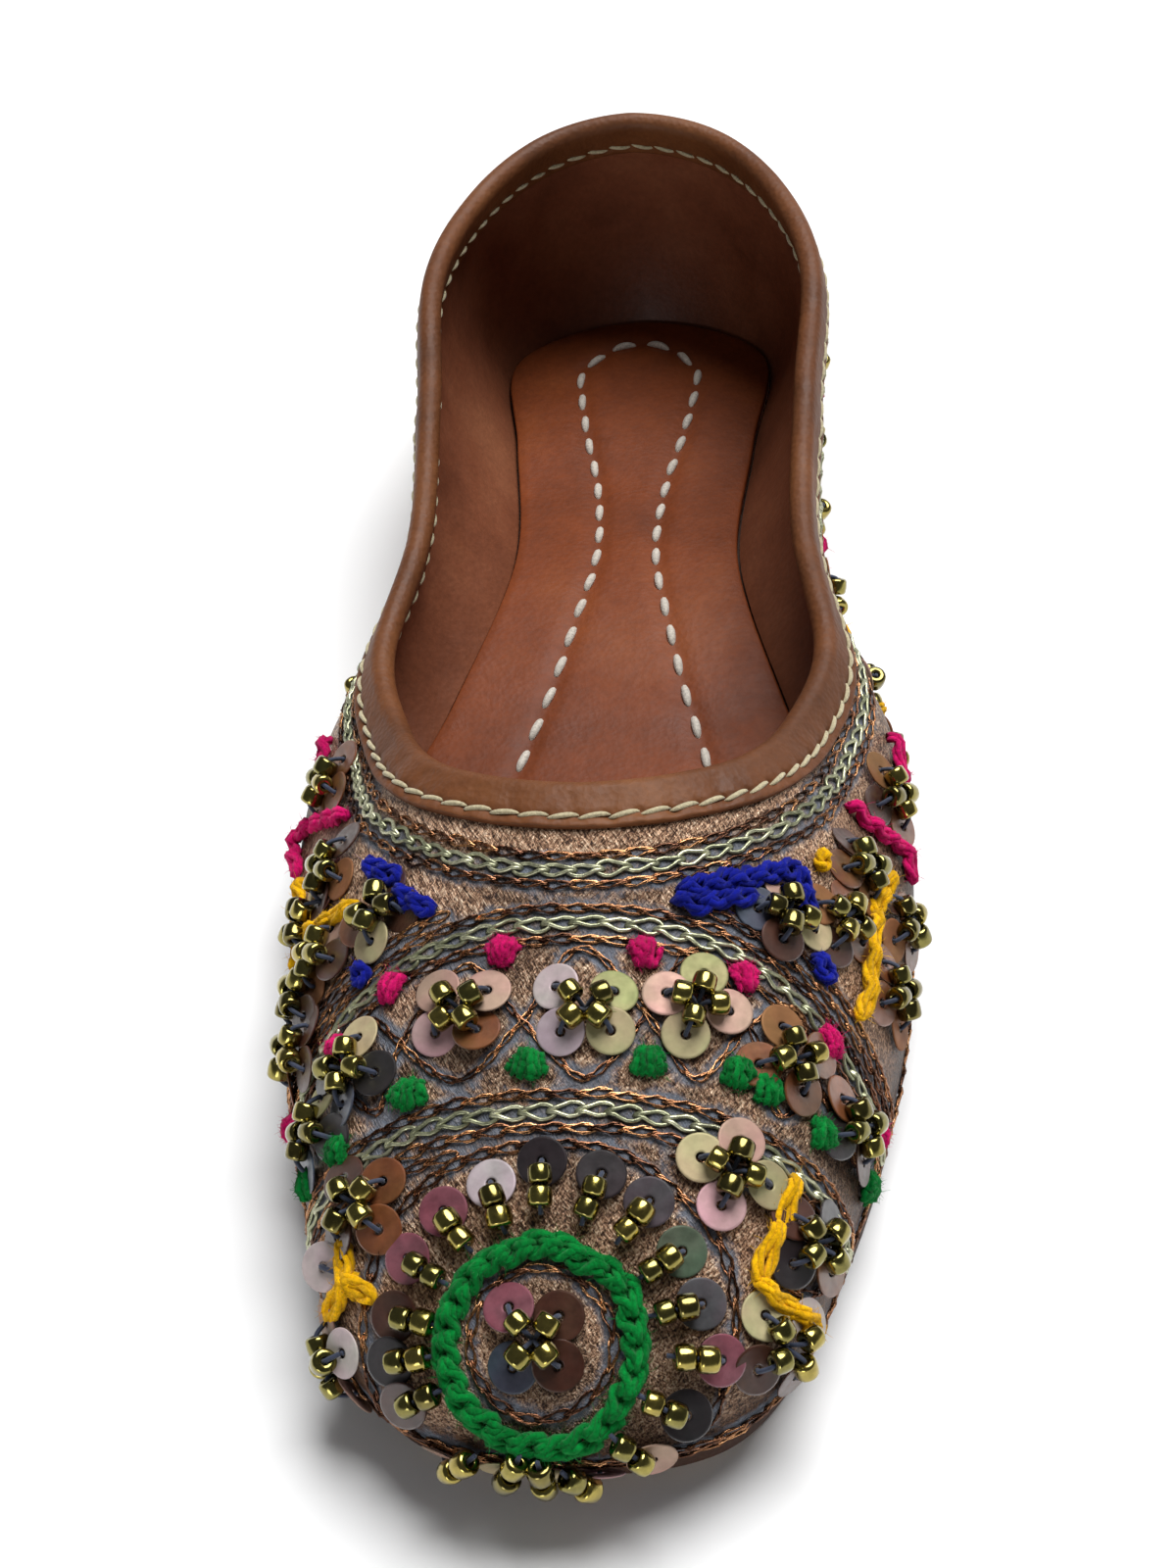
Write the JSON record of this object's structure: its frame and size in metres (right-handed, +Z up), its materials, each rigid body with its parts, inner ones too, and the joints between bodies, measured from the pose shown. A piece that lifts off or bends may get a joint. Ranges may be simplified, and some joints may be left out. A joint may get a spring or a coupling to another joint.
{
  "type": "mojari shoe",
  "caption": "Flat slip-on leather shoe with a rounded toe, bound collar and embroidered upper set with sequins, beads, braids and a wool toe ring.",
  "frame": {"origin": "on the floor below the middle of the shoe's box", "axes": "+Z up from the floor, +Y towards the heel, toe towards -Y, +X to the right of someone facing the toe"},
  "size_m": [0.087, 0.2397, 0.0495],
  "materials": {
    "sole_leather": "undyed sole leather, burnished edge",
    "insole_leather": "smooth cognac leather, satin",
    "upper_leather": "grey leather with crackled copper foil",
    "binding_leather": "tan leather, fine wrinkles, satin",
    "gold_thread": "pale gold metallic thread in chain stitch",
    "green_wool": "matt fuzzy wool"
  },
  "bodies": {
    "root": {"outsole": "sole_leather", "insole": "insole_leather", "upper": "upper_leather", "binding": "binding_leather", "braid_collar": "gold_thread", "braid_vamp": "gold_thread", "braid_toe": "gold_thread", "toe_ring": "green_wool"}
  },
  "joints": []
}
